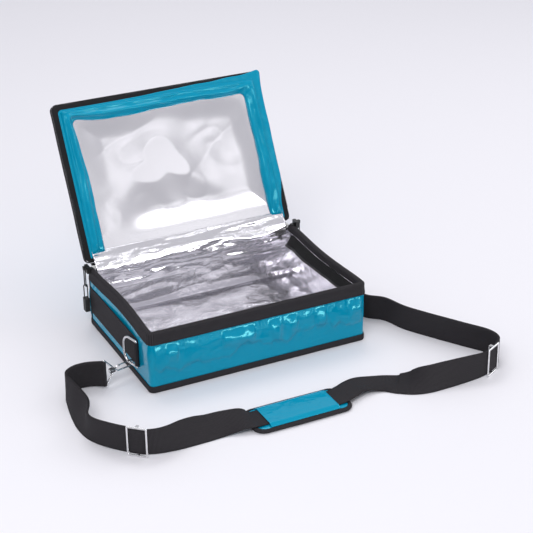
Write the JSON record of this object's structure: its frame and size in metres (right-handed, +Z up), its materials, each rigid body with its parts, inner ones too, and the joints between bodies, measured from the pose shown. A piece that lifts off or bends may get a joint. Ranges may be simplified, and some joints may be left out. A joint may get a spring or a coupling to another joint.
{
  "type": "insulated cooler bag",
  "caption": "Soft box-shaped cooler bag with a foil lining, a zip-round lid standing open, side D-rings, and a clipped-on webbing shoulder strap with a sliding pad.",
  "frame": {"origin": "middle of the bag's base, on the surface it stands on", "axes": "+Z up; +X to the bag's right as seen from the front; +Y towards the hinged back, so the front faces -Y"},
  "size_m": [0.7065, 0.6348, 0.3613],
  "materials": {
    "blue_pvc": "glossy coated tarpaulin, wrinkled",
    "foil": "bright aluminised film, soft waves and crinkles",
    "foam": "matt closed-cell foam",
    "board": "matt board",
    "webbing": "matt woven webbing with fine cross ribs",
    "zip_tape": "matt woven tape",
    "zip_teeth": "moulded teeth with a soft gloss",
    "black_metal": "black enamel on metal, slight gloss",
    "rubber_tag": "matt moulded rubber",
    "nickel": "bright nickel plating",
    "dark_metal": "dark nickel plating"
  },
  "bodies": {
    "tub": {"base_skin": "blue_pvc", "base_board": "board", "base_foam": "foam", "wall_shell": "blue_pvc", "back_panel": "blue_pvc", "foam_front": "foam", "foam_back": "foam", "foam_left": "foam", "foam_right": "foam", "liner": "foil", "rim_binding": "webbing", "base_binding": "webbing", "corner_binding_left": "webbing", "corner_binding_right": "webbing", "hinge_strip": "webbing", "foil_gusset": "foil", "zip_tape_body": "zip_tape", "zip_teeth_body": "zip_teeth", "belt_left": "webbing", "belt_right": "webbing", "swivel_left": "dark_metal", "swivel_right": "dark_metal", "strap_ring_left": "nickel", "strap_ring_right": "nickel", "strap": "webbing", "strap_return_left": "webbing", "strap_return_right": "webbing", "adjuster_left": "nickel", "adjuster_right": "nickel", "adjuster_bar_left": "nickel", "adjuster_bar_right": "nickel"},
    "lid": {"lid_skin": "blue_pvc", "lid_foam": "foam", "lid_liner": "foil", "lid_binding": "webbing", "flap_left": "blue_pvc", "flap_front": "blue_pvc", "flap_right": "blue_pvc", "zip_tape_lid": "zip_tape", "zip_teeth_lid": "zip_teeth"},
    "pad": {"pad_base": "blue_pvc", "pad_foam": "foam", "pad_cover": "blue_pvc", "pad_sleeve": "blue_pvc", "pad_binding": "webbing"},
    "slider_left": {"slider_left": "black_metal"},
    "bail_left": {"pull_bail_left": "black_metal"},
    "tag_left": {"pull_tag_left": "rubber_tag"},
    "d_ring_left": {"d_ring_left": "nickel"},
    "hook_left": {"hook_left": "nickel"},
    "gate_left": {"hook_gate_left": "nickel"},
    "slider_right": {"slider_right": "black_metal"},
    "bail_right": {"pull_bail_right": "black_metal"},
    "tag_right": {"pull_tag_right": "rubber_tag"},
    "d_ring_right": {"d_ring_right": "nickel"},
    "hook_right": {"hook_right": "nickel"},
    "gate_right": {"hook_gate_right": "nickel"}
  },
  "joints": [
    {"name": "lid_hinge", "type": "hinge", "parent": "tub", "child": "lid", "pos_m": [0, 0.1415, 0.113], "axis": [1, 0, 0], "range_deg": [-60, 118.5]},
    {"name": "zip_slide_left", "type": "slide", "parent": "tub", "child": "slider_left", "axis": [0, -1, 0], "range_m": [0, 0.17]},
    {"name": "bail_swing_left", "type": "hinge", "parent": "slider_left", "child": "bail_left", "pos_m": [-0.2089, 0.127, 0.114], "axis": [0, 1, 0], "range_deg": [0, 150]},
    {"name": "tag_swing_left", "type": "hinge", "parent": "bail_left", "child": "tag_left", "pos_m": [-0.2089, 0.127, 0.08], "axis": [0, 1, 0], "range_deg": [-3, 60]},
    {"name": "d_ring_swing_left", "type": "hinge", "parent": "tub", "child": "d_ring_left", "pos_m": [-0.203, -0.092, 0.051], "axis": [0, 0, 1], "range_deg": [-1, 8]},
    {"name": "hook_swivel_left", "type": "hinge", "parent": "tub", "child": "hook_left", "pos_m": [-0.2435, -0.08252, 0.0274], "axis": [-0.9703, -0.2419, 0], "range_deg": [-20, 20]},
    {"name": "gate_spring_left", "type": "hinge", "parent": "hook_left", "child": "gate_left", "pos_m": [-0.23088, -0.07937, 0.0323], "axis": [-0.2419, 0.9703, 0], "range_deg": [0, 15], "stiffness_Nm_per_rad": 0.02, "springref_deg": -22.92},
    {"name": "zip_slide_right", "type": "slide", "parent": "tub", "child": "slider_right", "axis": [0, -1, 0], "range_m": [0, 0.02]},
    {"name": "bail_swing_right", "type": "hinge", "parent": "slider_right", "child": "bail_right", "pos_m": [0.2089, 0.127, 0.114], "axis": [0, -1, 0], "range_deg": [0, 150]},
    {"name": "tag_swing_right", "type": "hinge", "parent": "bail_right", "child": "tag_right", "pos_m": [0.2089, 0.127, 0.08], "axis": [0, -1, 0], "range_deg": [-3, 60]},
    {"name": "d_ring_swing_right", "type": "hinge", "parent": "tub", "child": "d_ring_right", "pos_m": [0.203, 0.092, 0.051], "axis": [0, 0, 1], "range_deg": [-1, 1]},
    {"name": "hook_swivel_right", "type": "hinge", "parent": "tub", "child": "hook_right", "pos_m": [0.2224, 0.02439, 0.03318], "axis": [0.2955, -0.9095, -0.2924], "range_deg": [-12, 12]},
    {"name": "gate_spring_right", "type": "hinge", "parent": "hook_right", "child": "gate_right", "pos_m": [0.2139, 0.0347, 0.03698], "axis": [-0.0903, 0.2781, -0.9563], "range_deg": [0, 15], "stiffness_Nm_per_rad": 0.02, "springref_deg": -22.92},
    {"name": "pad_slide", "type": "slide", "parent": "tub", "child": "pad", "axis": [1, 0, 0], "range_m": [-0.005, 0.005]}
  ]
}
